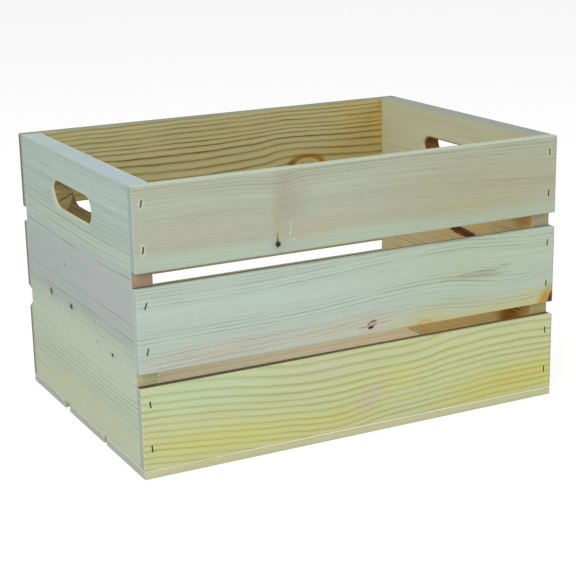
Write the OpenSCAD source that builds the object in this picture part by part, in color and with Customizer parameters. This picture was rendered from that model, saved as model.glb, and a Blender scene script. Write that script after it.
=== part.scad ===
// Open pine crate with slatted sides: two end panels with hand slots, three boards along
// each long side, three slats under the bottom, and sunk wire staples at every joint.
// The crate's length runs along X, its front is -Y, and it stands on Z = 0.
// The origin is on the ground under the middle of the crate.

/* [Crate] */
// Length over the ends
crate_l = 460; // [360:1:600]
// Width over the side boards
crate_w = 320; // [280:1:420]
// Height from the ground to the rim
crate_h = 276; // [245:0.5:340]

/* [End panels] */
// Thickness of an end panel
panel_t = 21; // [16:0.5:30]
// Length of the hand slot
slot_l = 110; // [80:1:150]
// Height of the hand slot
slot_h = 25.5; // [20:0.5:40]
// Depth of the slot's middle line below the rim
slot_drop = 44; // [30:0.5:90]
// Distance of the slot's middle from the panel's, toward the back
slot_back = 2.5; // [-10:0.5:10]
// Radius of the wide turn at the slot's lower back corner
slot_turn_r = 24; // [21:0.5:40]
// Width of the eased edge round the slot
slot_ease = 2; // [0.5:0.1:4]

/* [Front boards] */
// Thickness of a side board, front or back
side_t = 10; // [7:0.5:16]
// Width of the front bottom board
front_bottom_w = 80; // [60:0.5:90]
// Gap above the front bottom board
front_lower_gap = 13.5; // [4:0.5:24]
// Width of the front middle board
front_middle_w = 80; // [60:0.5:90]
// Gap above the front middle board, over which the top board fills the rest
front_upper_gap = 14.5; // [4:0.5:24]

/* [Back boards] */
// Width of the back bottom board
back_bottom_w = 81.5; // [60:0.5:90]
// Gap above the back bottom board
back_lower_gap = 13.5; // [4:0.5:26]
// Width of the back middle board
back_middle_w = 78.5; // [60:0.5:90]
// Gap above the back middle board, over which the top board fills the rest
back_upper_gap = 15.5; // [4:0.5:24]

/* [Bottom slats] */
// Thickness of a bottom slat
slat_t = 8.5; // [6:0.5:14]
// Gap between the front and middle slats
slat_front_gap = 7.5; // [3:0.5:20]
// Gap between the middle and back slats
slat_back_gap = 15.5; // [3:0.5:24]

/* [Staples] */
// Width of a staple over its crown
crown_w = 6.4; // [5:0.1:10]
// Width of the flat wire
wire_w = 1.3; // [0.9:0.1:1.8]
// Thickness of the flat wire
wire_t = 1; // [0.7:0.1:1.3]
// Length of a staple over its legs
staple_l = 25; // [18:1:32]
// Depth of a driven crown below the wood
sink = 0.8; // [0.2:0.1:1.6]
// Side play of the wire in the dent above the crown
dent_play = 0.15; // [0.05:0.05:0.4]
// Distance of the side staples from the crate's ends
side_staple_in = 9; // [6:0.5:13]
// Distance of the bottom staples from the crate's ends
bottom_staple_in = 13; // [12:0.5:15]
// Distance of the upper side staple from its board's edge
staple_from_top = 16; // [10:0.5:28]
// Distance of the lower side staple from its board's edge
staple_from_bottom = 21; // [10:0.5:28]
// Distance of the bottom staples from their slat's edges
staple_from_slat_edge = 20; // [16:0.5:30]
// Largest lean of a driven staple, in degrees
staple_lean = 20; // [0:1:24]

/* [Wood edges] */
// Width of the eased edge on every board
ease = 0.8; // [0.3:0.1:2]
// Height of the corner that has broken off the back middle board
chip_h = 8; // [1:0.5:12]
// Length of that broken corner along the board
chip_l = 4; // [1:0.5:12]
// Height of the worn corner of the back bottom board
worn_h = 4; // [1:0.5:10]
// Length of that worn corner along the board
worn_l = 3; // [1:0.5:10]

/* [Hidden] */

$fn = 64;
// Overshoot of a cut past the face that it opens
past = 1;

LEFT = -1;
RIGHT = 1;
ENDS = [LEFT, RIGHT];
FRONT = -1;
BACK = 1;

// Heights at which the boards of each side start
front_bottom_z = slat_t;
front_middle_z = front_bottom_z + front_bottom_w + front_lower_gap;
front_top_z = front_middle_z + front_middle_w + front_upper_gap;
front_top_w = crate_h - front_top_z;
back_bottom_z = slat_t;
back_middle_z = back_bottom_z + back_bottom_w + back_lower_gap;
back_top_z = back_middle_z + back_middle_w + back_upper_gap;
back_top_w = crate_h - back_top_z;

// Width of each slat, and the places across the crate at which they start
slat_w = (crate_w - slat_front_gap - slat_back_gap) / 3;
front_slat_y = -crate_w / 2;
middle_slat_y = front_slat_y + slat_w + slat_front_gap;
back_slat_y = crate_w / 2 - slat_w;

// Each board as [start, width], from the bottom up, and each slat, from the front
FRONT_BOARDS = [[front_bottom_z, front_bottom_w], [front_middle_z, front_middle_w],
                [front_top_z, front_top_w]];
BACK_BOARDS = [[back_bottom_z, back_bottom_w], [back_middle_z, back_middle_w],
               [back_top_z, back_top_w]];
SLATS = [[front_slat_y, slat_w], [middle_slat_y, slat_w], [back_slat_y, slat_w]];
ALL = [0:2];

// Lean of the staples at each end, in the order of the boards, as parts of the largest lean
LEFT_LEANS = [-0.2, -0.3, 0.6, 1, 0.5, 0.45];
RIGHT_LEANS = [0.1, -0.1, 0.05, 0.15, 0, -0.1];

panel_w = crate_w - 2 * side_t;
panel_h = crate_h - slat_t;
slot_r = slot_h / 2;
slot_straight = slot_l - slot_h;
slot_turn = [slot_l / 2 - slot_turn_r, slot_turn_r - slot_r];

// Colours of the sapwood, the yellower boards and the wire
PALE = [0.70, 0.74, 0.67];
GREENISH = [0.69, 0.75, 0.70];
YELLOWISH = [0.73, 0.75, 0.54];
INNER = [0.64, 0.62, 0.50];
STEEL = [0.45, 0.46, 0.45];

// Staple places of piece n of a row, two at each end, as [x, place across the piece, lean]
function places(row, n, inset, low, high, ends) = [
    for (end = ends, upper = [0, 1])
        [end * (crate_l / 2 - inset),
         row[n][0] + (upper ? row[n][1] - high : low),
         staple_lean * (end == LEFT ? LEFT_LEANS : RIGHT_LEANS)[2 * n + upper]]
];
function side_places(row, n, ends = ENDS) =
    places(row, n, side_staple_in, staple_from_bottom, staple_from_top, ends);
function slat_places(n, ends = ENDS) =
    places(SLATS, n, bottom_staple_in, staple_from_slat_edge, staple_from_slat_edge, ends);
function all_side_places(row, ends = ENDS) = [for (n = ALL, p = side_places(row, n, ends)) p];
function all_slat_places(ends = ENDS) = [for (n = ALL, p = slat_places(n, ends)) p];

// A staple stands on the face Y = 0 with its legs along +Y and its crown along Z
module on_side(side, places) {
    for (p = places)
        translate([p[0], side * crate_w / 2, p[1]])
            rotate([0, p[2], side == BACK ? 180 : 0])
                children();
}
module on_bottom(places) {
    for (p = places)
        translate([p[0], p[1], 0])
            rotate([90, 0, 0])
                rotate([0, p[2], 0])
                    children();
}

// Flat wire bent square, with each leg cut to a chisel point
module staple() {
    tip = 1.5 * wire_t;
    rotate([0, -90, 0])
        linear_extrude(wire_w, center = true)
            for (s = [LEFT, RIGHT])
                scale([s, 1])
                    polygon([[0, sink], [crown_w / 2, sink], [crown_w / 2, sink + staple_l],
                             [crown_w / 2 - wire_t, sink + staple_l - tip],
                             [crown_w / 2 - wire_t, sink + wire_t], [0, sink + wire_t]]);
}

// What a driven staple leaves in the wood: its own hole, and the dent above its crown
module staple_hole() {
    staple();
    translate([0, sink / 2 - past / 2, 0])
        cube([wire_w + 2 * dent_play, sink + past, crown_w + 2 * dent_play], center = true);
}

// Rectangle with its four corners cut at 45 degrees
module eased(a, b) {
    polygon([[ease, 0], [a - ease, 0], [a, ease], [a, b - ease],
             [a - ease, b], [ease, b], [0, b - ease], [0, ease]]);
}

// Block of wood with every edge eased: l along X, t along Y, w along Z
module timber(l, t, w) {
    intersection() {
        rotate([90, 0, 90]) linear_extrude(l) eased(t, w);
        translate([0, t, 0]) rotate([90, 0, 0]) linear_extrude(t) eased(l, w);
        linear_extrude(w) eased(l, t);
    }
}

// Side board n of a row along the whole crate, fastened at both ends
module side_board(side, row, n) {
    difference() {
        translate([-crate_l / 2, side == FRONT ? -crate_w / 2 : crate_w / 2 - side_t, row[n][0]])
            timber(crate_l, side_t, row[n][1]);
        on_side(side, side_places(row, n)) staple_hole();
    }
}

// Corner knocked off a back board at the left end, where rise is +1 upwards or -1 downwards
module corner_loss(z, rise, height, length) {
    translate([-crate_l / 2, crate_w / 2 + past, z])
        rotate([90, 0, 0])
            linear_extrude(side_t + 2 * past)
                polygon([[-past, -past * rise], [length, -past * rise],
                         [length, 0], [0.4 * length, 0.55 * height * rise],
                         [0, height * rise], [-past, height * rise]]);
}

module front_board_bottom() color(YELLOWISH) side_board(FRONT, FRONT_BOARDS, 0);
module front_board_middle() color(GREENISH) side_board(FRONT, FRONT_BOARDS, 1);
module front_board_top() color(PALE) side_board(FRONT, FRONT_BOARDS, 2);
module back_board_bottom() color(PALE) difference() {
    side_board(BACK, BACK_BOARDS, 0);
    corner_loss(back_bottom_z + back_bottom_w, -1, worn_h, worn_l);
}
module back_board_middle() color(PALE) difference() {
    side_board(BACK, BACK_BOARDS, 1);
    corner_loss(back_middle_z, 1, chip_h, chip_l);
}
module back_board_top() color(INNER) side_board(BACK, BACK_BOARDS, 2);

module bottom_slat(n) {
    difference() {
        translate([-crate_l / 2, SLATS[n][0], 0]) timber(crate_l, slat_w, slat_t);
        on_bottom(slat_places(n)) staple_hole();
    }
}
module bottom_slat_front() color(PALE) bottom_slat(0);
module bottom_slat_middle() color(INNER) bottom_slat(1);
module bottom_slat_back() color(INNER) bottom_slat(2);

// Round-ended outline of the hand slot, drawn in the plane of the panel
module slot_outline() {
    square([slot_straight, slot_h], center = true);
    for (s = [LEFT, RIGHT])
        translate([s * slot_straight / 2, 0]) circle(slot_r);
}

// Wood kept outside the wide turn, from low to high, where the turn opens from r1 to r2
module turn_wood(low, high, r1, r2) {
    difference() {
        translate([slot_turn[0], slot_turn[1] - slot_l, low])
            cube([slot_l, slot_l, high - low]);
        translate([slot_turn[0], slot_turn[1], low])
            cylinder(r1 = r1, r2 = r2, h = high - low);
    }
}

// Flare at one mouth of the slot, opening along +Z from a depth of slot_ease
module slot_mouth() {
    open = slot_ease + past;
    difference() {
        union() {
            for (s = [LEFT, RIGHT])
                translate([s * slot_straight / 2, 0, -slot_ease])
                    cylinder(r1 = slot_r, r2 = slot_r + open, h = open);
            translate([-slot_straight / 2, 0, 0])
                rotate([90, 0, 90])
                    linear_extrude(slot_straight)
                        polygon([[-slot_r, -slot_ease], [slot_r, -slot_ease],
                                 [slot_r + open, past], [-slot_r - open, past]]);
        }
        turn_wood(-slot_ease - past, 2 * past, slot_turn_r - past, slot_turn_r + open + past);
    }
}

// Hand slot through a panel that lies in the plane of X and Y, with its thickness along Z
module hand_slot() {
    difference() {
        translate([0, 0, -past]) linear_extrude(panel_t + 2 * past) slot_outline();
        turn_wood(-2 * past, panel_t + 2 * past, slot_turn_r, slot_turn_r);
    }
    translate([0, 0, panel_t]) slot_mouth();
    mirror([0, 0, 1]) slot_mouth();
}

// End panel between the side boards, standing on the slats
module end_panel(end) {
    difference() {
        translate([end == LEFT ? -crate_l / 2 : crate_l / 2 - panel_t, 0, 0])
            difference() {
                translate([0, -panel_w / 2, slat_t]) timber(panel_t, panel_w, panel_h);
                translate([0, slot_back, crate_h - slot_drop])
                    rotate([90, 0, 90]) hand_slot();
            }
        on_side(FRONT, all_side_places(FRONT_BOARDS, [end])) staple();
        on_side(BACK, all_side_places(BACK_BOARDS, [end])) staple();
        on_bottom(all_slat_places([end])) staple();
    }
}
module end_panel_left() color(GREENISH) end_panel(LEFT);
module end_panel_right() color(INNER) end_panel(RIGHT);

module front_staples() color(STEEL) on_side(FRONT, all_side_places(FRONT_BOARDS)) staple();
module back_staples() color(STEEL) on_side(BACK, all_side_places(BACK_BOARDS)) staple();
module bottom_staples() color(STEEL) on_bottom(all_slat_places()) staple();

end_panel_left();
end_panel_right();
front_board_top();
front_board_middle();
front_board_bottom();
back_board_top();
back_board_middle();
back_board_bottom();
bottom_slat_front();
bottom_slat_middle();
bottom_slat_back();
front_staples();
back_staples();
bottom_staples();
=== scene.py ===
"""Looks of the stapled pine crate: wood, wire and light, in metres, in the frame of the CAD model."""

import math

import bmesh
import bpy
from mathutils import Matrix, Vector


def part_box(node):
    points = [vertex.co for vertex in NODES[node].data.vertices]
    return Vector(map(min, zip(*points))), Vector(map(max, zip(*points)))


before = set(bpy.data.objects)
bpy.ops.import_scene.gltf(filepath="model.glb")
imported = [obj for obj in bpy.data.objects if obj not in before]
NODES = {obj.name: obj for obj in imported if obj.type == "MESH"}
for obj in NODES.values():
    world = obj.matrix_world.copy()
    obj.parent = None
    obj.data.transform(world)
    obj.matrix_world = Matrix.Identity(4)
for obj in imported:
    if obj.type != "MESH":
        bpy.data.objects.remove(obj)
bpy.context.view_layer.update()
MM = 0.001


def srgb(red, green, blue):
    """A colour picked on screen, in 0 to 255, as the linear colour that a shader takes."""
    linear = []
    for value in (red, green, blue):
        value /= 255
        linear.append(value / 12.92 if value <= 0.04045 else ((value + 0.055) / 1.055) ** 2.4)
    return (*linear, 1.0)


class Graph:
    """Adds shader nodes to a tree. An input is a number, a colour or another node's output."""

    def __init__(self, tree):
        self.tree = tree

    def set(self, socket, value):
        if isinstance(value, bpy.types.NodeSocket):
            self.tree.links.new(value, socket)
        else:
            socket.default_value = value

    def node(self, kind, inputs=None, **settings):
        made = self.tree.nodes.new("ShaderNode" + kind)
        for name, value in settings.items():
            setattr(made, name, value)
        for key, value in (inputs or {}).items():
            self.set(made.inputs[key], value)
        return made

    def math(self, operation, *values, clamp=False):
        made = self.node("Math", operation=operation, use_clamp=clamp)
        for socket, value in zip(made.inputs, values):
            self.set(socket, value)
        return made.outputs[0]

    def vector(self, operation, *values):
        made = self.node("VectorMath", operation=operation)
        for socket, value in zip(made.inputs, values):
            self.set(socket, value)
        return made.outputs[0]

    def combine(self, x, y, z):
        return self.node("CombineXYZ", {"X": x, "Y": y, "Z": z}).outputs[0]

    def separate(self, vector):
        return self.node("SeparateXYZ", {"Vector": vector}).outputs

    def ramp(self, value, low, high, to_low=0.0, to_high=1.0):
        """Value taken smoothly from low..high to to_low..to_high."""
        return self.node("MapRange", {"Value": value, "From Min": low, "From Max": high,
                                      "To Min": to_low, "To Max": to_high},
                         interpolation_type="SMOOTHSTEP").outputs[0]

    def mix(self, factor, first, second, blend="MIX"):
        made = self.node("Mix", data_type="RGBA", blend_type=blend)
        self.set(made.inputs[0], factor)
        self.set(made.inputs[6], first)
        self.set(made.inputs[7], second)
        return made.outputs[2]

    def noise(self, vector, scale, detail=2.0, roughness=0.5, distortion=0.0):
        return self.node("TexNoise", {"Vector": vector, "Scale": scale, "Detail": detail,
                                      "Roughness": roughness, "Distortion": distortion}).outputs["Fac"]

    def curve(self, value, points):
        """Value taken through a smooth curve over points of 0 to 1."""
        made = self.node("FloatCurve", {"Value": value})
        line = made.mapping.curves[0]
        for place, point in enumerate(points):
            if place < 2:
                line.points[place].location = point
            else:
                line.points.new(*point)
        made.mapping.update()
        return made.outputs[0]

    def use(self, group, inputs):
        made = self.node("Group", node_tree=group)
        for key, value in inputs.items():
            self.set(made.inputs[key], value)
        return made.outputs


def shader_group(name, inputs, outputs):
    """An empty shader node group with its sockets: (graph, inputs by name, output node)."""
    tree = bpy.data.node_groups.new(name, "ShaderNodeTree")
    for label, default in inputs.items():
        kind = "NodeSocketVector" if isinstance(default, tuple) else "NodeSocketFloat"
        tree.interface.new_socket(label, in_out="INPUT", socket_type=kind).default_value = default
    for label in outputs:
        tree.interface.new_socket(label, in_out="OUTPUT", socket_type="NodeSocketFloat")
    given = tree.nodes.new("NodeGroupInput").outputs
    return Graph(tree), given, tree.nodes.new("NodeGroupOutput").inputs


# Shader groups for the wood. Each reads one vector: X along the grain, Y through the board, Z across the grain.

def make_ring_level():
    """Height across the grain with the board's bends taken out, so that a ring keeps one level."""
    graph, given, out = shader_group(
        "Ring level",
        {"Vector": (0, 0, 0), "Shift": 0.0, "Waviness": 0.001, "Wriggle": 0.001, "Seed": 0.0}, ["Level"])
    _, _, across = graph.separate(given["Vector"])
    seeded = graph.vector("ADD", given["Vector"], graph.combine(given["Seed"], 0.0, given["Seed"]))
    broad = graph.noise(graph.vector("MULTIPLY", seeded, (5, 16, 16)), 1.0, 1.0)
    fine = graph.noise(graph.vector("MULTIPLY", seeded, (38, 75, 75)), 1.0, 2.0)
    level = graph.math("SUBTRACT", across, given["Shift"])
    level = graph.math("MULTIPLY_ADD", graph.math("MULTIPLY", graph.math("SUBTRACT", broad, 0.5), 4.0),
                       given["Waviness"], level)
    level = graph.math("MULTIPLY_ADD", graph.math("SUBTRACT", fine, 0.5), given["Wriggle"], level)
    graph.set(out["Level"], level)
    return graph.tree


def make_ring_radius():
    """Distance from a pith that runs along the grain, and the level at which that ring meets the planed face."""
    graph, given, out = shader_group(
        "Ring radius",
        {"Vector": (0, 0, 0), "Level": 0.0, "Pith depth": 0.1, "Pith across": 0.0, "Face depth": 0.0},
        ["Radius", "Face level"])
    _, depth, _ = graph.separate(given["Vector"])
    deep = graph.math("SUBTRACT", depth, given["Pith depth"])
    up = graph.math("SUBTRACT", given["Level"], given["Pith across"])
    at_face = graph.math("SUBTRACT", given["Face depth"], given["Pith depth"])
    square = graph.math("ADD", graph.math("MULTIPLY", deep, deep), graph.math("MULTIPLY", up, up))
    graph.set(out["Radius"], graph.math("SQRT", square))
    rest = graph.math("MAXIMUM", graph.math("SUBTRACT", square, graph.math("MULTIPLY", at_face, at_face)), 0.0)
    graph.set(out["Face level"], graph.math("ADD", graph.math("SQRT", rest), given["Pith across"]))
    return graph.tree


def make_ring_tone():
    """Pale early wood that darkens into a thin line of late wood, once for each whole number."""
    graph, given, out = shader_group("Ring tone", {"Count": 0.0, "Variety": 0.5, "Seed": 0.0}, ["Latewood"])
    ring = graph.curve(graph.math("FRACT", given["Count"]),
                       [(0, 0.42), (1, 0.42), (0.07, 0.12), (0.2, 0.0), (0.5, 0.04), (0.7, 0.38),
                        (0.84, 0.92), (0.93, 1.0)])
    number = graph.math("ADD", graph.math("FLOOR", given["Count"]), given["Seed"])
    tone = graph.node("TexWhiteNoise", {"W": number}, noise_dimensions="1D").outputs["Value"]
    strength = graph.math("MULTIPLY_ADD", graph.math("SUBTRACT", tone, 1.0), given["Variety"], 1.0)
    graph.set(out["Latewood"], graph.math("MULTIPLY", ring, strength))
    return graph.tree


def make_fibre():
    """Fine streaks along the grain, and the short dark flecks of resin canals."""
    graph, given, out = shader_group("Wood fibre", {"Vector": (0, 0, 0), "Seed": 0.0},
                                     ["Streaks", "Broad", "Flecks", "Breaks"])
    seeded = graph.vector("ADD", given["Vector"], graph.combine(given["Seed"], given["Seed"], 0.0))
    graph.set(out["Streaks"], graph.noise(graph.vector("MULTIPLY", seeded, (16, 560, 560)), 1.0, 4.0, 0.65))
    graph.set(out["Broad"], graph.noise(graph.vector("MULTIPLY", seeded, (3.2, 90, 90)), 1.0, 2.0))
    flecks = graph.noise(graph.vector("MULTIPLY", seeded, (95, 1150, 1150)), 1.0, 1.0)
    graph.set(out["Flecks"], graph.ramp(flecks, 0.66, 0.78))
    breaks = graph.noise(graph.vector("MULTIPLY", seeded, (17, 120, 120)), 1.0, 2.0)
    graph.set(out["Breaks"], graph.ramp(breaks, 0.32, 0.62, 0.3, 1.0))
    return graph.tree


def make_knot():
    """A knot: how far it pushes the rings aside, its body, its rim, its own rings and the tinted wood by it."""
    graph, given, out = shader_group(
        "Knot",
        {"Vector": (0, 0, 0), "Along": 0.0, "Across": 0.0, "Half length": 0.005,
         "Half height": 0.004, "Push": 0.004, "Slant": 0.0, "Raggedness": 0.45},
        ["Push", "Body", "Rim", "Rings", "Tint"])
    along, _, across = graph.separate(given["Vector"])
    ragged = graph.noise(graph.vector("MULTIPLY", given["Vector"], (190, 90, 190)), 1.0, 2.0)
    left = graph.math("SUBTRACT", along, given["Along"])
    up = graph.math("SUBTRACT", graph.math("SUBTRACT", across, given["Across"]),
                    graph.math("MULTIPLY", given["Slant"], left))
    u = graph.math("DIVIDE", left, given["Half length"])
    v = graph.math("DIVIDE", up, given["Half height"])
    square = graph.math("ADD", graph.math("MULTIPLY", u, u), graph.math("MULTIPLY", v, v))
    reach = graph.math("MULTIPLY_ADD", graph.math("SUBTRACT", ragged, 0.5), given["Raggedness"],
                       graph.math("SQRT", square))
    wide = graph.math("ADD", graph.math("MULTIPLY", graph.math("MULTIPLY", u, u), 0.045),
                      graph.math("MULTIPLY", graph.math("MULTIPLY", v, v), 0.16))
    fade = graph.math("EXPONENT", graph.math("MULTIPLY", wide, -1.0))
    graph.set(out["Push"], graph.math("MULTIPLY", graph.math("MULTIPLY", v, 0.55),
                                      graph.math("MULTIPLY", fade, given["Push"])))
    graph.set(out["Body"], graph.ramp(reach, 1.08, 0.86))
    graph.set(out["Rim"], graph.math("MULTIPLY", graph.ramp(reach, 0.6, 0.92), graph.ramp(reach, 1.3, 0.98)))
    graph.set(out["Rings"], graph.math("MULTIPLY_ADD", graph.math("SINE", graph.math("MULTIPLY", reach, 17.0)),
                                       0.5, 0.5))
    tint = graph.math("ADD", graph.math("MULTIPLY", graph.math("MULTIPLY", u, u), 0.10),
                      graph.math("MULTIPLY", graph.math("MULTIPLY", v, v), 0.30))
    graph.set(out["Tint"], graph.math("EXPONENT", graph.math("MULTIPLY", tint, -1.0)))
    return graph.tree


def make_patch():
    """A soft oval of stain with a grain-torn edge."""
    graph, given, out = shader_group(
        "Soft patch",
        {"Vector": (0, 0, 0), "Along": 0.0, "Across": 0.0, "Half length": 0.05,
         "Half height": 0.01, "Slope": 0.0, "Softness": 0.6},
        ["Mask"])
    along, _, across = graph.separate(given["Vector"])
    torn = graph.noise(graph.vector("MULTIPLY", given["Vector"], (12, 60, 170)), 1.0, 2.0)
    left = graph.math("SUBTRACT", along, given["Along"])
    up = graph.math("SUBTRACT", graph.math("SUBTRACT", across, given["Across"]),
                    graph.math("MULTIPLY", given["Slope"], left))
    u = graph.math("DIVIDE", left, given["Half length"])
    v = graph.math("DIVIDE", up, given["Half height"])
    reach = graph.math("SQRT", graph.math("ADD", graph.math("MULTIPLY", u, u), graph.math("MULTIPLY", v, v)))
    reach = graph.math("MULTIPLY_ADD", graph.math("SUBTRACT", torn, 0.5),
                       graph.math("MULTIPLY", given["Softness"], 1.2), reach)
    graph.set(out["Mask"], graph.ramp(reach, graph.math("ADD", 1.0, given["Softness"]),
                                      graph.math("SUBTRACT", 1.0, given["Softness"])))
    return graph.tree


def make_edges():
    """A board's arrises, its sawn ends, and the insides of its staple dents, from the corners of its box."""
    graph, given, out = shader_group(
        "Board edges", {"Vector": (0, 0, 0), "Low": (0, 0, 0), "High": (0, 0, 0)},
        ["Arris", "Sawn end", "Dent"])
    to_low = graph.vector("SUBTRACT", given["Vector"], given["Low"])
    to_high = graph.vector("SUBTRACT", given["High"], given["Vector"])
    a, b, c = graph.separate(graph.vector("MINIMUM", to_low, to_high))
    middle = graph.math("MAXIMUM", graph.math("MINIMUM", a, b),
                        graph.math("MINIMUM", graph.math("MAXIMUM", a, b), c))
    torn = graph.noise(graph.vector("MULTIPLY", given["Vector"], (60, 300, 300)), 1.0, 3.0)
    near = graph.math("MULTIPLY_ADD", graph.math("SUBTRACT", torn, 0.5), 0.0022, middle)
    graph.set(out["Arris"], graph.ramp(near, 0.0013, 0.0003))
    graph.set(out["Sawn end"], graph.ramp(a, 0.0004, 0.0001))
    nearest = graph.math("MINIMUM", b, c)
    graph.set(out["Dent"], graph.math("MULTIPLY", graph.ramp(nearest, 0.00042, 0.0006),
                                      graph.math("GREATER_THAN", a, 0.006)))
    return graph.tree


RING_LEVEL = make_ring_level()
RING_RADIUS = make_ring_radius()
RING_TONE = make_ring_tone()
FIBRE = make_fibre()
KNOT = make_knot()
PATCH = make_patch()
EDGES = make_edges()

# How the grain vector is taken from the object's own X, Y, Z
BOARD = (0, 1, 2)
PANEL = (1, 0, 2)
SLAT = (0, 2, 1)

# Grain shapes run this far each way along the grain, and bend by this much at most, in mm
SHAPE_REACH = 240.0
MOST_BEND = 30.0

# Height of the rim, in mm
RIM = 276.0

# The hand slots, in metres along and across the panels' grain, and the panels' faces
SLOT_MIDDLE, SLOT_HEIGHT = 0.0025, 0.232
SLOT_HALF_STRAIGHT = 0.04225
PANEL_INNER, PANEL_OUTER = 0.209, 0.230

# Colours that every board shares, as on screen
# Pale arrises: edge wear and painted highlight along the edges
PALE_ARRIS_WEAR_AND_HIGHLIGHT = (206, 212, 200)
# Pale inner edge of the rim: wear and painted highlight
PALE_CREST_WEAR_AND_HIGHLIGHT = (208, 218, 208)
DENT_SHADE = (46, 38, 28)
RING_ON_END = (112, 116, 98)
PORES_ON_END = (228, 220, 212)


def grain_vector(graph, order):
    axes = graph.separate(graph.node("TexCoord").outputs["Object"])
    return graph.combine(*(axes[n] for n in order))


def grain_bend(graph, along, points):
    """How far the rings bend across the grain, from (place along, bend) pairs in mm."""
    place = graph.node("MapRange", {"Value": along, "From Min": -SHAPE_REACH * MM,
                                    "From Max": SHAPE_REACH * MM}).outputs[0]
    ordered = sorted(points)
    inner = [((x + SHAPE_REACH) / SHAPE_REACH / 2, 0.5 + bend / MOST_BEND / 2) for x, bend in ordered]
    height = graph.curve(place, [(0, inner[0][1]), (1, inner[-1][1])] + inner)
    return graph.math("MULTIPLY", graph.math("SUBTRACT", height, 0.5), 2 * MOST_BEND * MM)


def grain_shape(graph, along, across, shape):
    """The rings' bend over the whole board, blended between the heights in the shape's table."""
    total = lower = 0.0
    for place, (height, points) in enumerate(shape):
        bend = grain_bend(graph, along, points)
        if place:
            share = graph.node("MapRange", {"Value": across, "From Min": shape[place - 1][0] * MM,
                                            "From Max": height * MM}).outputs[0]
            total = graph.math("MULTIPLY_ADD", graph.math("SUBTRACT", bend, lower), share, total)
        else:
            total = bend
        lower = bend
    return total


def knot(x, z, half_length, half_height, push, body, rim, tint, amount, slant=0.0, rim_amount=0.75,
         body_amount=1.0, ragged=0.45):
    return dict(place=(x, z), size=(half_length, half_height), push=push, slant=slant, body=srgb(*body),
                rim=srgb(*rim), rim_amount=rim_amount, body_amount=body_amount, ragged=ragged,
                tint=srgb(*tint), amount=amount)


def knot_masks(graph, vector, one):
    return graph.use(KNOT, {"Vector": vector, "Along": one["place"][0] * MM, "Across": one["place"][1] * MM,
                            "Half length": one["size"][0] * MM, "Half height": one["size"][1] * MM,
                            "Push": one["push"] * MM, "Slant": one["slant"], "Raggedness": one["ragged"]})


def patch_mask(graph, vector, x, z, half_length, half_height, slope, softness):
    return graph.use(PATCH, {"Vector": vector, "Along": x * MM, "Across": z * MM,
                             "Half length": half_length * MM, "Half height": half_height * MM,
                             "Slope": slope, "Softness": softness})["Mask"]


def stain(graph, vector, colour, ovals, within=None):
    """Colour with soft ovals of tint laid on it, each as (oval, tint, amount)."""
    for *oval, tint, amount in ovals:
        if within is not None:
            amount = graph.math("MULTIPLY", within, amount)
        colour = graph.mix(graph.math("MULTIPLY", patch_mask(graph, vector, *oval), amount), colour, srgb(*tint))
    return colour


def ring_count(graph, vector, level, pith, ring, levels, face, unevenness, seed):
    """Numbers the rings: dark lines at the given levels of the planed face, or one for each ring width."""
    radius = graph.use(RING_RADIUS, {"Vector": vector, "Level": level, "Pith depth": pith[0] * MM,
                                     "Pith across": pith[1] * MM, "Face depth": face})
    if levels:
        first, span, last = levels[0], levels[-1] - levels[0], len(levels) - 1
        share = graph.node("MapRange", {"Value": radius["Face level"], "From Min": first * MM,
                                        "From Max": levels[-1] * MM}).outputs[0]
        points = [((place - first) / span, number / last) for number, place in enumerate(levels)]
        count = graph.curve(share, [points[0], points[-1]] + points[1:-1])
        darkest = 0.93  # where in a ring the line is darkest
        return graph.math("MULTIPLY_ADD", count, float(last), darkest)
    count = graph.math("DIVIDE", radius["Radius"], ring * MM)
    uneven = graph.node("TexNoise", {"W": graph.math("MULTIPLY_ADD", count, 0.7, seed),
                                     "Scale": 1.0, "Detail": 1.0}, noise_dimensions="1D").outputs["Fac"]
    return graph.math("MULTIPLY_ADD", graph.math("SUBTRACT", uneven, 0.5), unevenness * 3.0, count)


def late_wood(graph, vector, level, rings, grain, contrast, quiet, lines, at_rim):
    """How dark the late wood is: its rings, calmed where they are faint, and single lines at given levels."""
    latewood = graph.math("MULTIPLY", rings, graph.ramp(grain["Streaks"], 0.25, 0.65, 0.55, 1.0))
    latewood = graph.math("MULTIPLY", latewood, graph.ramp(grain["Breaks"], 0.3, 1.0, 0.72, 1.0))
    calm = contrast
    for *oval, amount in quiet:
        fade = graph.math("MULTIPLY_ADD", patch_mask(graph, vector, *oval), -amount, 1.0)
        calm = graph.math("MULTIPLY", fade, calm)
    if at_rim:
        calm = graph.math("MULTIPLY", graph.math("MULTIPLY_ADD", at_rim, -0.8, 1.0), calm)
    latewood = graph.math("MULTIPLY", latewood, calm, clamp=True)
    if not lines:
        return latewood
    drawn = 0.0
    for place, width, strength in lines:
        away = graph.math("ABSOLUTE", graph.math("SUBTRACT", level, place * MM))
        drawn = graph.math("MAXIMUM", drawn, graph.ramp(away, width * MM, 0.2 * width * MM, 0.0, strength))
    drawn = graph.math("MULTIPLY", drawn, grain["Breaks"])
    if at_rim:
        drawn = graph.math("MULTIPLY", drawn, graph.math("MULTIPLY_ADD", at_rim, -0.85, 1.0))
    return graph.math("MAXIMUM", latewood, drawn)


def fibre_light(graph, vector, grain):
    """Light and dark of the fibres, the resin canals and the pores."""
    light = graph.math("MULTIPLY_ADD", graph.math("SUBTRACT", grain["Streaks"], 0.5), 0.22, 1.0)
    light = graph.math("SUBTRACT", light, graph.math("MULTIPLY", grain["Flecks"], 0.10))
    pores = graph.noise(graph.vector("MULTIPLY", vector, (420, 1500, 1500)), 1.0, 2.0)
    light = graph.math("MULTIPLY_ADD", graph.math("SUBTRACT", pores, 0.5), 0.07, light)
    return graph.combine(light, light, light)


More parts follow.
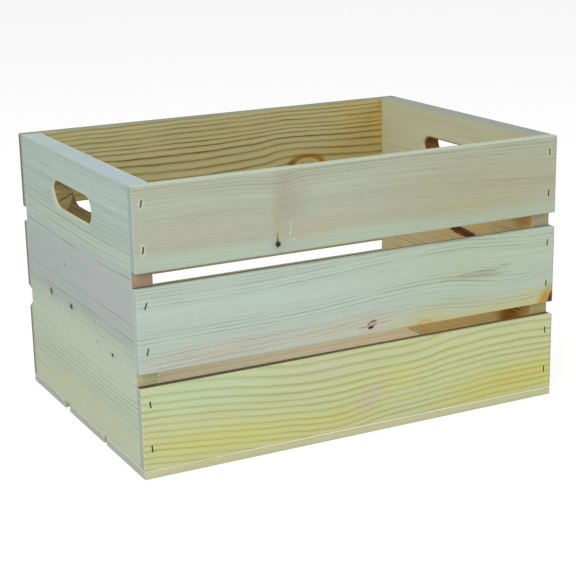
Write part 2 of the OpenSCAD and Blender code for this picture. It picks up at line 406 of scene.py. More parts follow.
def rim_colour(graph, along, depth, inner_edge, near, far=None):
    """The top rim's colour. With a far colour it changes along the rim and has a pale inner edge of wear and
    painted highlight.
    """
    colour = srgb(*near)
    if far:
        colour = graph.mix(graph.ramp(along, -0.06, 0.13), colour, srgb(*far))
        crest = graph.ramp(depth, inner_edge - 0.0026, inner_edge - 0.0008)
        # Pale inner edge: wear and painted highlight
        colour = graph.mix(graph.math("MULTIPLY", crest, 0.6), colour, srgb(*PALE_CREST_WEAR_AND_HIGHLIGHT))
    return colour


def sawn_and_shaded_top_edge(graph, vector, low, high, start_left, start_right):
    """Mask of the back part of a board's top edge: rough-sawn dark wood and painted shade under the board above.
    It starts further back at the right.
    """
    along, depth, across = graph.separate(vector)
    begins = graph.ramp(along, -0.12, 0.04, low[1] + start_left * MM, low[1] + start_right * MM)
    behind = graph.ramp(graph.math("SUBTRACT", depth, begins), 0.0, 0.0012)
    return graph.math("MULTIPLY", graph.ramp(across, high[2] - 0.0009, high[2] - 0.0003), behind)


def sawn_colour(graph, vector, speckle, latewood, end, end_low, end_far, end_rings):
    """End grain: open pores, and rings that may be bold. It may have other colours low down or at the back."""
    _, depth, across = graph.separate(vector)
    colour = srgb(*end)
    if end_low:
        colour = graph.mix(graph.ramp(across, 0.11, 0.16), srgb(*end_low), colour)
    colour = graph.mix(graph.ramp(speckle, 0.38, 0.62),
                       graph.mix(1.0, colour, srgb(*PORES_ON_END), "MULTIPLY"), colour)
    if end_far:
        colour = graph.mix(graph.ramp(depth, 0.1530, 0.1556), colour, srgb(*end_far))
    return graph.mix(graph.math("MULTIPLY", latewood, end_rings, clamp=True), colour, srgb(*RING_ON_END))


def far_corner_shade(graph, vector, order, low, high):
    """Mask of the thin line of painted shade where a board, or a panel's front edge, meets its far corner."""
    along, depth, _ = graph.separate(vector)
    if order == PANEL:
        return graph.math("MULTIPLY", graph.ramp(depth, high[1] - 0.0022, high[1] - 0.0010),
                          graph.ramp(along, low[0] + 0.0008, low[0] + 0.0004))
    return graph.math("MULTIPLY", graph.ramp(along, high[0] - 0.0020, high[0] - 0.0009),
                      graph.ramp(depth, low[1] + 0.0008, low[1] + 0.0004))


def pine(name, node, order, early, late, end, pith, ring=None, levels=None, waviness=1.0, wriggle=None,
         unevenness=0.4, variety=0.5, contrast=1.0, quiet=(), lines=(), shape=(), knots=(), patches=(), marks=(),
         rim=None, end_low=None, end_far=None, end_rings=1.0, top_edge=None, top_face=None, far_edge_shade=None,
         stains_inside=False, arris=0.22, seed=0.0, slot=None):
    """Planed pine cut along the grain. Lengths are in mm, colours as on screen.

    Rings: ring is their width, or levels the heights of the dark lines on the planed face. lines are single
    lines as (level, half width, strength), and quiet ovals calm the rings. shape gives their bends.
    patches lie under the rings and marks over them, each as (x, z, half length, half height, slope, softness,
    colour, amount).
    """
    material = bpy.data.materials.new(name)
    material.use_nodes = True
    graph = Graph(material.node_tree)
    shader = material.node_tree.nodes["Principled BSDF"]
    vector = grain_vector(graph, order)
    along, depth, across = graph.separate(vector)
    low, high = ([corner[n] for n in order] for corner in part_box(node))
    at_rim = graph.ramp(across, RIM * MM - 0.0014, RIM * MM - 0.0004) if rim else None

    shift = grain_shape(graph, along, across, shape)
    placed_knots = [(one, knot_masks(graph, vector, one)) for one in knots]
    for _, masks in placed_knots:
        shift = graph.math("ADD", shift, masks["Push"])
    wriggle = waviness if wriggle is None else wriggle
    level = graph.use(RING_LEVEL, {"Vector": vector, "Shift": shift, "Waviness": waviness * MM,
                                   "Wriggle": wriggle * MM, "Seed": seed})["Level"]
    count = ring_count(graph, vector, level, pith, ring, levels, low[1], unevenness, seed)
    rings = graph.use(RING_TONE, {"Count": count, "Variety": variety, "Seed": seed})["Latewood"]
    grain = graph.use(FIBRE, {"Vector": graph.combine(along, depth, level), "Seed": seed})
    latewood = late_wood(graph, vector, level, rings, grain, contrast, quiet, lines, at_rim)

    colour = graph.mix(graph.ramp(grain["Broad"], 0.3, 0.7), srgb(*early[0]), srgb(*early[1]))
    within = graph.ramp(depth, 0.2222, 0.2162) if stains_inside else None
    colour = stain(graph, vector, colour, patches, within)
    if rim:
        colour = graph.mix(at_rim, colour, rim_colour(graph, along, depth, high[1], *rim))
    if top_face:
        colour = graph.mix(graph.ramp(depth, 0.0072, 0.0080), colour, srgb(*top_face))
    for one, masks in placed_knots:
        colour = graph.mix(graph.math("MULTIPLY", masks["Tint"], one["amount"]), colour, one["tint"])
    late_colour = srgb(*late[0]) if isinstance(late[0], tuple) else srgb(*late)
    if isinstance(late[0], tuple):
        warm = graph.noise(graph.vector("MULTIPLY", vector, (11, 60, 60)), 1.0, 1.0)
        late_colour = graph.mix(graph.ramp(warm, 0.42, 0.62), late_colour, srgb(*late[1]))
    colour = graph.mix(latewood, colour, graph.mix(1.0, colour, late_colour, "MULTIPLY"))
    colour = graph.mix(1.0, colour, fibre_light(graph, vector, grain), "MULTIPLY")
    for one, masks in placed_knots:
        shade = graph.mix(graph.math("MULTIPLY", masks["Rings"], 0.4), one["body"], one["rim"])
        colour = graph.mix(graph.math("MULTIPLY", masks["Body"], one["body_amount"]), colour, shade)
        colour = graph.mix(graph.math("MULTIPLY", masks["Rim"], one["rim_amount"]), colour, one["rim"])
    colour = stain(graph, vector, colour, marks, within)

    edges = graph.use(EDGES, {"Vector": vector, "Low": low, "High": high})
    # The back of the top edge: rough-sawn dark wood and painted shade under the board above
    if top_edge:
        edge_colour, *starts = top_edge
        colour = graph.mix(sawn_and_shaded_top_edge(graph, vector, low, high, *starts), colour, srgb(*edge_colour))
    speckle = graph.noise(graph.vector("MULTIPLY", vector, (900, 900, 900)), 1.0, 2.0, 0.7)
    sawn = sawn_colour(graph, vector, speckle, latewood, end, end_low, end_far, end_rings)
    colour = graph.mix(edges["Sawn end"], colour, sawn)
    # Painted shade in a thin line along the far corner
    if far_edge_shade:
        corner = far_corner_shade(graph, vector, order, low, high)
        colour = graph.mix(graph.math("MULTIPLY", corner, 0.75), colour, srgb(*far_edge_shade))
    # Pale arrises: edge wear and painted highlight
    colour = graph.mix(graph.math("MULTIPLY", edges["Arris"], arris), colour, srgb(*PALE_ARRIS_WEAR_AND_HIGHLIGHT))
    colour = graph.mix(edges["Dent"], colour, srgb(*DENT_SHADE))
    if slot:
        colour = routed_slot(graph, vector, colour, speckle, *slot)

    graph.set(shader.inputs["Base Color"], colour)
    graph.set(shader.inputs["Roughness"], graph.math("MULTIPLY_ADD", latewood, -0.10, 0.68))
    shader.inputs["Specular IOR Level"].default_value = 0.25
    height = graph.math("MULTIPLY_ADD", latewood, 0.6, grain["Streaks"])
    height = graph.math("MULTIPLY_ADD", graph.math("MULTIPLY", speckle, edges["Sawn end"]), 1.4, height)
    bump = graph.node("Bump", {"Height": height, "Strength": 0.35, "Distance": 0.00012})
    graph.set(shader.inputs["Normal"], bump.outputs[0])
    NODES[node].data.materials.clear()
    NODES[node].data.materials.append(material)


def slot_floor(graph, vector, cut):
    """The left slot's flat floor, browner as painted shadow on one side of an askew line and darker towards the
    inner face and the front end, a dark line of painted shadow edge along that line, and a dark askew line over
    the back end.
    """
    along, depth, across = graph.separate(vector)
    inward = graph.math("ADD", depth, PANEL_INNER)
    # The edge of the painted shadow runs askew through the panel: 1.63 along for each 1 of depth
    behind = graph.math("SUBTRACT", along, graph.math("MULTIPLY_ADD", inward, 1.63, 0.054))
    streaks = graph.noise(graph.vector("MULTIPLY", vector, (26, 420, 420)), 1.0, 2.0)
    floor = graph.mix(graph.ramp(streaks, 0.35, 0.65), srgb(96, 78, 26), srgb(122, 104, 44))
    floor = graph.mix(graph.ramp(depth, -0.2135, -0.2096), floor, srgb(66, 50, 22))
    floor = graph.mix(graph.ramp(along, -0.036, -0.048), floor, srgb(70, 58, 22))
    # Painted shadow: the floor colours on one side of the askew line
    cut = graph.mix(graph.ramp(behind, 0.001, -0.002), cut, floor)
    # A dark line of painted shadow edge along the askew line
    shadow_edge_line = graph.ramp(graph.math("ABSOLUTE", behind), 0.0022, 0.0006)
    cut = graph.mix(graph.math("MULTIPLY", shadow_edge_line, 0.7), cut, srgb(104, 62, 22))
    # A dark askew line over the back end of the slot
    over = graph.math("SUBTRACT", across, graph.math("MULTIPLY_ADD", inward, 0.344, 0.2294))
    askew_line = graph.math("MULTIPLY", graph.ramp(graph.math("ABSOLUTE", over), 0.0011, 0.0003),
                         graph.ramp(along, 0.032, 0.038))
    return graph.mix(graph.math("MULTIPLY", askew_line, 0.8), cut, srgb(84, 74, 40))


def routed_slot(graph, vector, colour, speckle, side, bright, dark, eased):
    """The hand slot's walls, brown partly from the cutter and partly as painted shade, and the pale eased edge
    round its mouth.

    The side is -1 for the left panel, which is seen from outside, and 1 for the right one, seen from inside.
    """
    along, depth, across = graph.separate(vector)
    off_middle = graph.math("ABSOLUTE", graph.math("SUBTRACT", along, SLOT_MIDDLE))
    reach = graph.math("MAXIMUM", graph.math("SUBTRACT", off_middle, SLOT_HALF_STRAIGHT), 0.0)
    up = graph.math("SUBTRACT", across, SLOT_HEIGHT)
    out = graph.math("SQRT", graph.math("ADD", graph.math("MULTIPLY", reach, reach),
                                        graph.math("MULTIPLY", up, up)))
    size = graph.math("ABSOLUTE", depth)
    in_panel = graph.math("MULTIPLY", graph.ramp(size, PANEL_INNER + 0.0001, PANEL_INNER + 0.0004),
                          graph.ramp(size, PANEL_OUTER - 0.0001, PANEL_OUTER - 0.0004))
    lip_edge = PANEL_OUTER - 0.0017 if side < 0 else PANEL_INNER + 0.0017
    at_lip = graph.ramp(size, lip_edge - 0.0004, lip_edge + 0.0004)
    if side > 0:
        at_lip = graph.math("SUBTRACT", 1.0, at_lip)
    marks = graph.noise(graph.vector("MULTIPLY", vector, (300, 60, 700)), 1.0, 3.0)
    chatter = graph.math("MULTIPLY_ADD", marks, 0.5, graph.math("MULTIPLY", speckle, 0.5))
    # The walls' brown: cutter marks and painted shade
    cut = graph.mix(graph.ramp(chatter, 0.4, 0.6), srgb(*dark), srgb(*bright))
    if side < 0:
        cut = slot_floor(graph, vector, cut)
        halo = graph.math("MULTIPLY", graph.ramp(out, 0.0176, 0.0146), graph.ramp(depth, -0.2285, -0.2296))
        colour = graph.mix(graph.math("MULTIPLY", halo, 0.45), colour, srgb(*eased))
    inside = graph.mix(at_lip, cut, srgb(*eased))
    near = graph.ramp(out, 0.0156, 0.0151)
    return graph.mix(graph.math("MULTIPLY", near, in_panel), colour, inside)


# The boards and panels, with the grain, knots and stains that the photo shows

pine("front bottom board pine", "front_board_bottom", BOARD,
     early=((193, 201, 154), (197, 200, 149)), late=(188, 188, 128), end=(186, 196, 182),
     top_edge=((92, 80, 46), 1.8, 3.6), far_edge_shade=(146, 140, 128),
     pith=(-40, -260), waviness=0.1, wriggle=1.5, variety=0.3, contrast=0.72, seed=3.1,
     quiet=[(-150, 44, 60, 44, 0, 0.9, 0.22)],
     levels=(-10, -3, 3, 9.3, 15.3, 21, 27.9, 33.6, 40.1, 46.0, 53.0, 59.8, 66.2, 73.4, 81.6, 91.2, 100.5, 110),
     shape=((20, ((-225, 0), (-200, -2.4), (-150, -8.0), (-100, -13.5), (-75, -15.8), (-50, -19), (-25, -20.2),
                  (0, -17.3), (25, -13.6), (50, -12.2), (75, -11), (100, -9.8), (125, -8.8), (150, -7),
                  (200, -6.6), (225, -6.2))),
            (72, ((-225, 0), (-200, -1.5), (-150, -5.6), (-100, -12.8), (-75, -15.8), (-50, -16.8), (-25, -16.4),
                  (0, -15.8), (25, -15.9), (50, -16.4), (75, -14.5), (100, -10), (125, -7.8), (150, -6.2),
                  (200, -6.2), (225, -7.7)))),
     patches=[(-150, 24, 78, 13, -0.06, 0.9, (204, 202, 114), 0.6),
              (-20, 22, 50, 10, 0.0, 0.9, (204, 194, 114), 0.5),
              (35, 48, 34, 12, 0.1, 0.9, (202, 200, 120), 0.5),
              (185, 26, 80, 16, 0.06, 0.9, (202, 194, 102), 0.75),
              (12, 38, 16, 12, 0.5, 0.9, (196, 186, 168), 0.6),
              (-40, 72, 40, 12, 0, 0.9, (196, 196, 168), 0.5),
              (-175, 76, 70, 14, 0, 0.9, (188, 206, 172), 0.6)])

pine("front middle board pine", "front_board_middle", BOARD,
     early=((183, 199, 188), (180, 194, 181)), late=(170, 172, 146), end=(183, 202, 200), end_rings=0.5,
     top_edge=((88, 84, 58), 4.8, 5.8), far_edge_shade=(136, 138, 138),
     pith=(-100, -240), ring=3.3, waviness=0.3, wriggle=1.3, unevenness=0.5, variety=0.9, contrast=0.2,
     seed=11.7,
     quiet=[(0, 155, 300, 11, 0, 0.5, 0.8)],
     lines=[(104.3, 0.9, 0.4), (109.0, 0.9, 0.45), (112.4, 0.7, 0.25), (115.6, 0.9, 0.5), (119.5, 0.7, 0.25),
            (126.5, 0.8, 0.25), (130.3, 0.9, 0.5), (134.6, 0.9, 0.6), (138.4, 0.8, 0.4), (141.8, 0.7, 0.25),
            (145.6, 0.7, 0.2), (161.5, 0.8, 0.2), (164.8, 0.9, 0.5), (168.6, 0.8, 0.4), (172.8, 0.9, 0.5),
            (176.6, 0.8, 0.35), (180.0, 0.8, 0.35)],
     shape=((114, ((-225, 0), (-200, 0.8), (-150, 2.8), (-100, 3.4), (-50, 5.3), (0, 9.0), (25, 11.2),
                   (50, 11.9), (75, 11.3), (100, 10), (125, 7), (150, 6.2), (175, 5), (210, 4.6), (230, 9))),
            (134, ((-225, 0), (-150, 0.3), (-100, 0.3), (-50, 1.5), (0, 5.2), (25, 6.5), (50, 7.6), (75, 8.0),
                   (100, 6.8), (125, 4.0), (150, 0.4), (175, -1.4), (200, -2), (230, -1))),
            (150, ((-225, 0), (-150, 0.0), (-50, 1.5), (0, 4.8), (50, 8.2), (100, 8.5), (125, 7.0), (150, 4.0),
                   (175, 1.0), (230, 0))),
            (168, ((-225, 0), (-150, -0.8), (-100, -0.2), (-75, 1.2), (-50, 2.2), (-25, 3.5), (0, 5.2),
                   (25, 6.5), (50, 7.8), (75, 8.0), (100, 9), (125, 8.5), (150, 6.2), (175, 4.5), (200, 2.8),
                   (225, 2.5)))),
     knots=[knot(13.0, 111.4, 5.4, 4.2, 2.2, (186, 164, 138), (116, 70, 46), (196, 180, 158), 0.5, slant=0.15,
                 body_amount=0.6, rim_amount=0.16, ragged=0.8),
            knot(74, 99.5, 9.5, 7.0, 3.0, (192, 186, 130), (186, 160, 80), (190, 182, 122), 0.75,
                 body_amount=0.7, ragged=0.3),
            knot(233, 105, 9.4, 11.5, 5.0, (82, 50, 24), (60, 34, 16), (188, 176, 110), 0.35, slant=0.5,
                 ragged=0.3)],
     patches=[(190, 110, 45, 9, 0.12, 0.9, (190, 188, 128), 0.6),
              (140, 103, 95, 4.5, 0.0, 0.7, (192, 184, 110), 0.6),
              (-150, 110, 90, 13, 0.05, 0.8, (190, 184, 168), 0.7),
              (-20, 112, 60, 10, 0.05, 0.8, (192, 182, 158), 0.6),
              (110, 112, 70, 10, 0.0, 0.9, (186, 182, 142), 0.6),
              (140, 155, 100, 28, 0, 0.9, (176, 191, 160), 0.8),
              (134, 143.5, 30, 2.8, -0.03, 0.7, (168, 164, 142), 0.65),
              (167, 149.0, 11, 2.2, 0.0, 0.6, (174, 174, 142), 0.4),
              (222, 108, 14, 10, 0.75, 0.5, (190, 160, 66), 0.8),
              (219, 106, 6, 6, 0.6, 0.4, (176, 132, 30), 0.9)],
     marks=[(11.6, 108.7, 3.0, 1.5, 0.1, 0.45, (28, 18, 12), 1.0),
            (14.2, 110.6, 2.0, 0.7, 0.6, 0.5, (80, 50, 30), 0.8),
            (14.6, 114.6, 3.6, 1.2, 0.12, 0.6, (108, 66, 46), 0.85),
            (9.8, 112.8, 1.8, 0.9, 0.3, 0.6, (120, 78, 56), 0.8),
            (3.0, 110.0, 5.0, 0.8, 0.0, 0.6, (150, 116, 84), 0.7),
            (27, 112.0, 8.0, 0.7, 0.02, 0.6, (146, 118, 88), 0.55),
            (146, 147.0, 13, 0.9, -0.06, 0.6, (132, 134, 118), 0.75),
            (122, 146.6, 14, 0.7, 0.03, 0.6, (142, 142, 124), 0.6),
            (96, 143.2, 16, 0.7, 0.03, 0.6, (146, 148, 132), 0.5),
            (168, 150.2, 7, 0.6, -0.02, 0.6, (142, 138, 100), 0.6),
            (150, 142.2, 18, 0.8, -0.12, 0.6, (150, 144, 124), 0.6)])

pine("front top board pine", "front_board_top", BOARD,
     early=((177, 184, 164), (173, 177, 157)), late=(192, 192, 176), end=(168, 187, 184), end_rings=0.6,
     far_edge_shade=(136, 142, 138), rim=[(177, 187, 166)],
     pith=(-40, -160), ring=2.6, waviness=0.4, wriggle=1.2, unevenness=0.5, variety=0.85, contrast=0.5,
     seed=23.5,
     quiet=[(0, 222, 420, 38, 0, 0.35, 0.55), (150, 262, 120, 14, -0.02, 0.8, 0.3)],
     lines=[(274.4, 0.7, 0.35), (271.4, 0.9, 0.6), (268.3, 0.6, 0.4), (265.4, 0.8, 0.5), (261.6, 0.6, 0.35),
            (258.0, 0.7, 0.35), (250.5, 0.7, 0.2), (243.5, 0.7, 0.25), (238.8, 0.7, 0.25), (215.5, 0.8, 0.2)],
     shape=((200, ((-235, 0), (-100, -3), (-87, -4), (-60, -1), (60, -4), (230, -16))),
            (272, ((-235, 0), (-200, 0.6), (-150, 1.0), (-120, 0.4), (-100, -1.4), (-87, -1.9), (-75, -0.8),
                   (-60, 1.0), (-40, 1.4), (0, 1.6), (100, 0.8), (150, 0), (230, -0.8)))),
     knots=[knot(-87.4, 205.4, 2.3, 2.4, 2.0, (34, 36, 20), (54, 50, 30), (140, 138, 112), 0.4, ragged=0.8)],
     patches=[(0, 203, 400, 8.5, 0, 0.45, (174, 190, 170), 0.85),
              (-84, 203, 16, 3.0, 0, 0.9, (174, 184, 184), 0.6),
              (-80, 246, 10, 30, 0.1, 0.9, (160, 152, 130), 0.5),
              (-66, 240, 12, 30, 0.1, 0.9, (164, 164, 146), 0.5),
              (-88, 228, 4.5, 22, 0.1, 0.9, (164, 166, 132), 0.5),
              (-180, 228, 60, 12, 0, 0.9, (180, 176, 158), 0.5),
              (-50, 214, 26, 8, 0, 0.9, (184, 170, 142), 0.5),
              (-30, 222, 50, 10, 0, 0.9, (182, 176, 156), 0.45),
              (140, 232, 110, 30, 0.0, 0.9, (168, 164, 130), 0.7),
              (112, 216.4, 5.5, 2.6, 0.1, 0.8, (186, 170, 112), 0.45),
              (133, 217.2, 12, 2.2, 0.0, 0.8, (186, 170, 110), 0.5),
              (172, 219.0, 16, 1.6, 0.03, 0.8, (180, 162, 120), 0.35)],
     marks=[(-87.7, 208.6, 1.4, 3.2, 0, 0.7, (52, 54, 32), 0.8),
            (-87.7, 212.6, 0.9, 3.6, 0, 0.8, (100, 102, 74), 0.55),
            (-73.4, 222.0, 0.5, 5.2, 4, 0.5, (208, 214, 198), 0.55),
            (-76.0, 223.2, 0.5, 1.2, 0, 0.5, (208, 214, 198), 0.4),
            (-74.6, 214.8, 0.9, 1.8, 1, 0.5, (214, 220, 204), 0.65),
            (-70.4, 208.0, 0.8, 0.9, 0, 0.5, (208, 214, 200), 0.5),
            (-221, 260, 3.0, 5.4, 0, 0.7, (198, 210, 190), 0.5),
            (-221, 217.5, 3.0, 5.2, 0, 0.7, (198, 210, 190), 0.55),
            (221, 260, 2.6, 5.4, 0, 0.7, (192, 198, 172), 0.4)])

pine("left panel pine", "end_panel_left", PANEL,
     early=((175, 193, 182), (171, 187, 176)), late=(180, 184, 178), end=(180, 155, 136),
     end_low=(198, 194, 156), end_rings=0.0, arris=0.05, rim=[(165, 182, 186), (168, 184, 177)],
     slot=(-1, (160, 144, 98), (130, 114, 72), (192, 199, 168)),
     pith=(-100, -700), ring=3.1, waviness=0.5, wriggle=1.2, unevenness=0.6, variety=0.85, contrast=0.5,
     seed=31.2,
     quiet=[(0, 165, 300, 34, 0, 0.4, 0.85), (0, 100, 300, 18, 0, 0.6, 0.8), (0, 20, 300, 18, 0, 0.6, 0.85)],
     lines=[(272, 0.8, 0.3), (267.5, 0.8, 0.48), (263.5, 0.8, 0.42), (260.2, 0.7, 0.3), (256, 0.8, 0.36),
            (244.2, 0.8, 0.42), (230.5, 0.8, 0.42), (226, 0.8, 0.42), (221, 0.8, 0.42), (215.7, 0.8, 0.36),
            (210.1, 0.9, 0.54), (205.8, 0.7, 0.3), (200.5, 0.9, 0.6), (193.5, 0.7, 0.25), (187, 0.9, 0.8),
            (174, 0.8, 0.15), (145, 0.9, 0.6), (131, 0.9, 0.8), (122.2, 0.8, 0.42), (113.4, 0.8, 0.54),
            (102, 0.7, 0.26), (87, 0.8, 0.34), (77.2, 0.8, 0.6), (71.0, 0.8, 0.54), (66.0, 0.8, 0.68),
            (60.5, 0.8, 0.54), (55.0, 0.8, 0.6), (51.0, 0.8, 0.54), (46.8, 0.8, 0.54), (38.0, 0.8, 0.34),
            (31.0, 0.8, 0.34)],
     shape=((60, ((-150, 1), (-60, 0), (0, 0), (60, -0.8), (150, -1.5))),
            (125, ((-150, -0.4), (-60, 0.4), (0, 0.2), (60, -0.4), (150, -1.8))),
            (195, ((-150, 2.4), (-60, 0), (0, 0), (60, 0.6), (150, 2.4))),
            (265, ((-150, -0.5), (-60, -0.5), (0, 0), (60, 1.5), (150, 3.5)))),
     knots=[knot(81, 122.2, 2.4, 3.6, 1.2, (52, 48, 34), (46, 42, 32), (160, 158, 146), 0.5, ragged=0.8),
            knot(19.8, 121.2, 3.1, 2.4, 1.2, (46, 42, 30), (46, 42, 32), (160, 158, 146), 0.5, ragged=0.8),
            knot(-91.5, 102.2, 2.5, 1.8, 1.2, (62, 64, 50), (52, 52, 42), (160, 166, 146), 0.4, ragged=0.7),
            knot(32.7, 161.8, 2.1, 0.9, 0.5, (88, 94, 92), (96, 100, 96), (160, 170, 166), 0.3, slant=0.4)],
     patches=[(0, 256, 260, 16, 0.0, 0.6, (181, 198, 190), 0.5),
              (0, 152, 260, 36, 0.0, 0.5, (171, 179, 177), 0.85),
              (-70, 165, 60, 20, 0.0, 0.9, (184, 178, 179), 0.5),
              (0, 128, 260, 9, 0.02, 0.7, (174, 176, 169), 0.5),
              (0, 206, 260, 8, 0.0, 0.8, (180, 196, 178), 0.7),
              (0, 74, 260, 44, 0, 0.6, (191, 203, 176), 0.85),
              (0, 20, 260, 22, 0, 0.9, (196, 200, 168), 0.85)],
     marks=[(-52, 104.6, 5.0, 0.8, 0, 0.6, (128, 138, 118), 0.6),
            (-50, 116.6, 3.4, 0.6, 0, 0.6, (136, 142, 126), 0.45),
            (44.6, 220.4, 3.2, 2.2, 0.5, 0.5, (206, 208, 172), 0.8)])

pine("right panel pine", "end_panel_right", PANEL,
     early=((204, 204, 172), (199, 198, 168)), late=(206, 180, 146), end=(180, 176, 150),
     end_low=(196, 180, 126), end_rings=0.25, far_edge_shade=(92, 84, 62), rim=[(143, 151, 140)],
     slot=(1, (132, 84, 30), (98, 58, 14), (196, 178, 138)), stains_inside=True,
     pith=(220, -700), ring=2.5, waviness=1.0, unevenness=0.8, contrast=0.75, seed=47.9,
     quiet=[(0, 262, 400, 44, 0, 0.4, 0.8)],
     knots=[knot(-25, 150.2, 25, 4.4, 1.5, (104, 60, 38), (60, 28, 20), (214, 160, 96), 0.35, slant=0.02,
                 rim_amount=0.55, ragged=0.9)],
     patches=[(-20, 164, 240, 34, 0, 0.8, (236, 200, 148), 0.8),
              (-75, 172, 40, 26, 0, 0.9, (248, 226, 172), 0.7),
              (-136, 190, 16, 14, 0, 0.9, (196, 150, 66), 0.85),
              (20, 40, 200, 60, 0, 0.8, (244, 208, 142), 0.85),
              (-138, 88, 22, 16, 0, 0.7, (204, 158, 70), 0.9),
              (-113, 79, 18, 18, 0, 0.7, (168, 104, 4), 0.95)],
     marks=[(-128, 88.5, 6, 0.8, 0.0, 0.6, (70, 38, 8), 0.8),
            (-120, 84.2, 8, 0.7, 0.0, 0.6, (84, 50, 10), 0.7),
            (-136, 92.4, 5, 0.7, 0.0, 0.6, (84, 50, 10), 0.6),
            (-34, 152.6, 10, 0.7, 0.0, 0.6, (150, 96, 60), 0.7),
            (-18, 148.4, 8, 0.6, 0.0, 0.6, (150, 100, 66), 0.6)])

pine("back top board pine", "back_board_top", BOARD,
     early=((190, 183, 136), (184, 175, 124)), late=((120, 106, 48), (150, 104, 42)), end=(162, 176, 168),
     end_far=(96, 100, 90), rim=[(133, 135, 107)],
     pith=(250, 40), waviness=0.15, wriggle=2.2, variety=0.35, contrast=1.0, seed=52.3,
     quiet=[(-190, 250, 50, 40, 0, 0.8, 0.2)],
     levels=(188, 195.5, 203, 211.2, 220.0, 229.0, 236.8, 243.6, 248.9, 253.8, 260.0, 265.7, 270.4, 275.4, 281),
     shape=((228, ((-225, 2), (-150, 1), (-100, -0.6), (-50, -1.5), (-25, -1.6), (0, 0), (25, 0.8), (50, 2.7),
                   (75, 7), (90, 8), (110, 7), (125, 6), (150, 4.3), (175, 3), (210, 2.4))),
            (248, ((-225, 0.4), (-150, -0.2), (-100, -1), (-50, 0), (0, 0), (50, 2), (75, 3.9), (90, 3.8),
                   (110, 3), (125, 2.5), (150, 1.5), (210, 1.2))),
            (268, ((-225, -2.4), (-150, -1.8), (-100, -1.5), (-50, -0.4), (0, 0), (50, 0.9), (75, 1.3),
                   (100, 1.4), (125, 0.4), (150, 0.3), (210, 1.0)))),
     knots=[knot(109, 206.4, 21.7, 12.0, 0.6, (190, 176, 124), (154, 113, 14), (184, 166, 106), 0.5,
                 rim_amount=0.95, body_amount=0.6, ragged=0.22)],
     patches=[(195, 240, 45, 40, 0, 0.8, (200, 170, 84), 0.5),
              (-165, 203, 40, 5, 0, 0.7, (206, 176, 112), 0.8),
              (207, 250, 9, 24, 0, 0.8, (222, 190, 84), 0.5),
              (-60, 202, 170, 4, 0, 0.5, (212, 184, 112), 0.7)],
     marks=[(88, 211, 5, 3, 0.2, 0.6, (104, 78, 22), 0.7),
            (108, 217.6, 14, 1.2, 0.0, 0.6, (118, 84, 16), 0.6),
            (-110, 197.9, 130, 0.8, 0.0, 0.3, (84, 72, 38), 0.9)])

# Boards that hardly show

pine("back middle board pine", "back_board_middle", BOARD,
     early=((184, 182, 156), (180, 176, 150)), late=(190, 168, 128), end=(178, 188, 182),
     end_far=(110, 114, 106),
     pith=(300, 146), ring=4.4, variety=0.8, contrast=0.6, seed=61.8)

pine("back bottom board pine", "back_board_bottom", BOARD,
     early=((186, 180, 146), (180, 172, 136)), late=(190, 166, 124), end=(186, 196, 176),
     end_far=(120, 126, 112),
     pith=(290, 20), ring=4.0, variety=0.8, contrast=0.6, seed=73.4)

for number, (row, seed) in enumerate((("front", 83.0), ("middle", 91.6), ("back", 97.2))):
    pine("bottom slat " + row + " pine", "bottom_slat_" + row, SLAT,
         early=((201, 199, 165), (196, 195, 155)), late=(200, 184, 146), end=(191, 200, 194),
         top_face=(236, 226, 198),
         pith=(-60 - 20 * number, -110 + 110 * number), ring=4.2, waviness=1.4, variety=0.8, contrast=0.5,
         seed=seed)


def staple_wire():
    """Dull galvanised wire in scuffed tones, kept dark partly as painted shade of the dents it sits in."""
    material = bpy.data.materials.new("staple wire")
    material.use_nodes = True
    graph = Graph(material.node_tree)
    shader = material.node_tree.nodes["Principled BSDF"]
    place = graph.node("TexCoord").outputs["Object"]
    scuffs = graph.noise(graph.vector("MULTIPLY", place, (900, 900, 1800)), 1.0, 3.0)
    # Dark wire tones stand partly for painted shade in the dents
    graph.set(shader.inputs["Base Color"],
              graph.mix(graph.ramp(scuffs, 0.35, 0.7), srgb(46, 48, 44), srgb(92, 94, 88)))
    graph.set(shader.inputs["Roughness"], graph.ramp(scuffs, 0.3, 0.7, 0.6, 0.38))
    shader.inputs["Metallic"].default_value = 0.85
    for node in ("front_staples", "back_staples", "bottom_staples"):
        NODES[node].data.materials.clear()
        NODES[node].data.materials.append(material)


staple_wire()

# Stage, light and camera

VIEW_AZIMUTH, VIEW_ELEVATION, VIEW_ROLL = -27.122, 15.961, -1.146
VIEW_TARGET = Vector((0.00395, 0.0, 0.11057))
VIEW_DISTANCE = 1.5786
VIEW_LENS = 92.94
FLOOR_RADIUS = 9.0


def view_axes(azimuth, elevation, roll):
    """Right, up and backward of a camera that looks at the crate."""
    azimuth, elevation, roll = (math.radians(angle) for angle in (azimuth, elevation, roll))
    forward = Vector((-math.sin(azimuth) * math.cos(elevation),
                      math.cos(azimuth) * math.cos(elevation), -math.sin(elevation)))
    right = forward.cross(Vector((0, 0, 1))).normalized()
    up = right.cross(forward)
    turned_right = math.cos(roll) * right + math.sin(roll) * up
    turned_up = -math.sin(roll) * right + math.cos(roll) * up
    return turned_right, turned_up, -forward


def place_camera():
    data = bpy.data.cameras.new("view")
    data.sensor_fit = "AUTO"
    data.sensor_width = 36.0
    data.lens = VIEW_LENS
    data.clip_end = 50.0
    camera = bpy.data.objects.new("view", data)
    bpy.context.collection.objects.link(camera)
    right, up, back = view_axes(VIEW_AZIMUTH, VIEW_ELEVATION, VIEW_ROLL)
    turn = Matrix((right, up, back)).transposed().to_4x4()
    camera.matrix_world = Matrix.Translation(VIEW_TARGET + back * VIEW_DISTANCE) @ turn
    bpy.context.scene.camera = camera


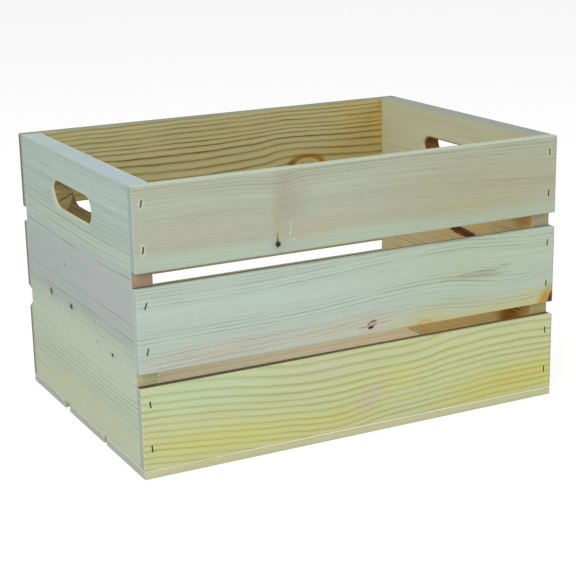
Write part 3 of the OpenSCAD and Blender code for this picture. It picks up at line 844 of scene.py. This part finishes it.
def soft_lamp(name, place, size, power, target=(0.0, 0.0, 0.12)):
    data = bpy.data.lights.new(name, "AREA")
    data.shape = "DISK"
    data.size = size
    data.energy = power
    lamp = bpy.data.objects.new(name, data)
    bpy.context.collection.objects.link(lamp)
    lamp.location = place
    lamp.rotation_euler = (Vector(target) - Vector(place)).to_track_quat("-Z", "Y").to_euler()


def white_world(strength):
    """Even light on the crate, and plain white behind it."""
    world = bpy.data.worlds.new("studio")
    bpy.context.scene.world = world
    world.use_nodes = True
    tree = world.node_tree
    graph = Graph(tree)
    ray = graph.node("LightPath").outputs
    seen = graph.math("MAXIMUM", ray["Is Camera Ray"], graph.math("MAXIMUM", ray["Is Glossy Ray"],
                                                                ray["Is Transmission Ray"]))
    background = tree.nodes["Background"]
    background.inputs["Color"].default_value = (1, 1, 1, 1)
    graph.set(background.inputs["Strength"], graph.math("MULTIPLY_ADD", seen, 1.0 - strength, strength))


def pale_floor():
    """A floor that is white where it is lit and keeps a faint shadow under the crate."""
    mesh = bmesh.new()
    bmesh.ops.create_circle(mesh, cap_ends=True, segments=96, radius=FLOOR_RADIUS)
    data = bpy.data.meshes.new("floor")
    mesh.to_mesh(data)
    mesh.free()
    floor = bpy.data.objects.new("floor", data)
    bpy.context.collection.objects.link(floor)
    material = bpy.data.materials.new("pale floor")
    material.use_nodes = True
    graph = Graph(material.node_tree)
    shader = material.node_tree.nodes["Principled BSDF"]
    ray = graph.node("LightPath").outputs
    shader.inputs["Roughness"].default_value = 0.9
    shader.inputs["Specular IOR Level"].default_value = 0.0
    lights_the_crate, seen, glow = (0.80, 0.80, 0.80, 1), (0.34, 0.34, 0.34, 1), 0.74
    graph.set(shader.inputs["Base Color"], graph.mix(ray["Is Camera Ray"], lights_the_crate, seen))
    shader.inputs["Emission Color"].default_value = (1, 1, 1, 1)
    graph.set(shader.inputs["Emission Strength"], graph.math("MULTIPLY", ray["Is Camera Ray"], glow))
    data.materials.append(material)


place_camera()
white_world(0.52)
soft_lamp("key", (-2.1, -2.0, 1.9), 1.6, 44.0)
soft_lamp("fill", (1.6, -2.1, 1.2), 1.6, 13.0)
soft_lamp("top", (-0.2, 0.2, 2.4), 1.8, 14.0)
pale_floor()

bpy.context.scene.view_settings.view_transform = "Standard"
